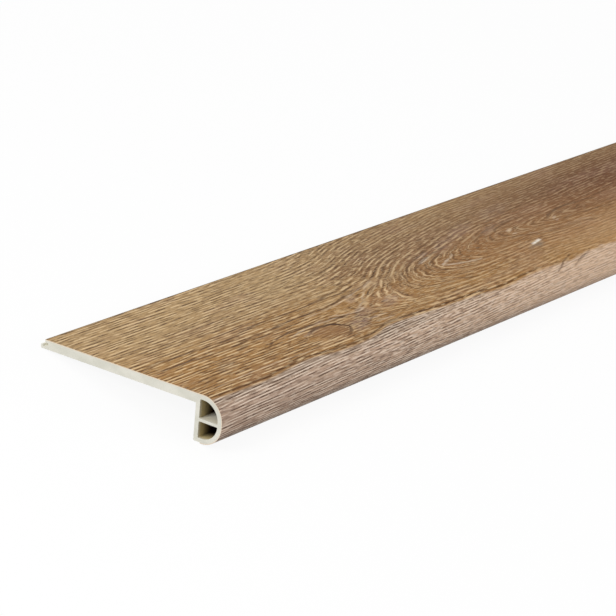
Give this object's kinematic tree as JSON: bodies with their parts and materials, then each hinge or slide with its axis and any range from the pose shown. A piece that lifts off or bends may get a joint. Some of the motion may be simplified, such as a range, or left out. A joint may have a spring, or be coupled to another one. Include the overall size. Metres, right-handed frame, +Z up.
{
  "type": "stair tread",
  "caption": "Long flat stair tread of rigid vinyl with a hollow bullnose front edge, a wood-look film over its face and nose, and a click groove at its back.",
  "frame": {"origin": "centre of the bounding box's bottom, on the floor that the tread rests on", "axes": "+X along the tread, +Y from the nose towards the back edge, +Z up. The tread is stored as it rests unheld: on the foot of its nose wall and on its locking lip, so its walking surface falls 11.17 degrees towards the back."},
  "size_m": [1.2, 0.115, 0.025],
  "materials": {
    "core": "extruded cream vinyl composite, saw-cut ends",
    "decor": "embossed oak-look decor film under a satin wear layer"
  },
  "bodies": {
    "root": {"extruded_core": "core", "decor_film": "decor"}
  },
  "joints": []
}
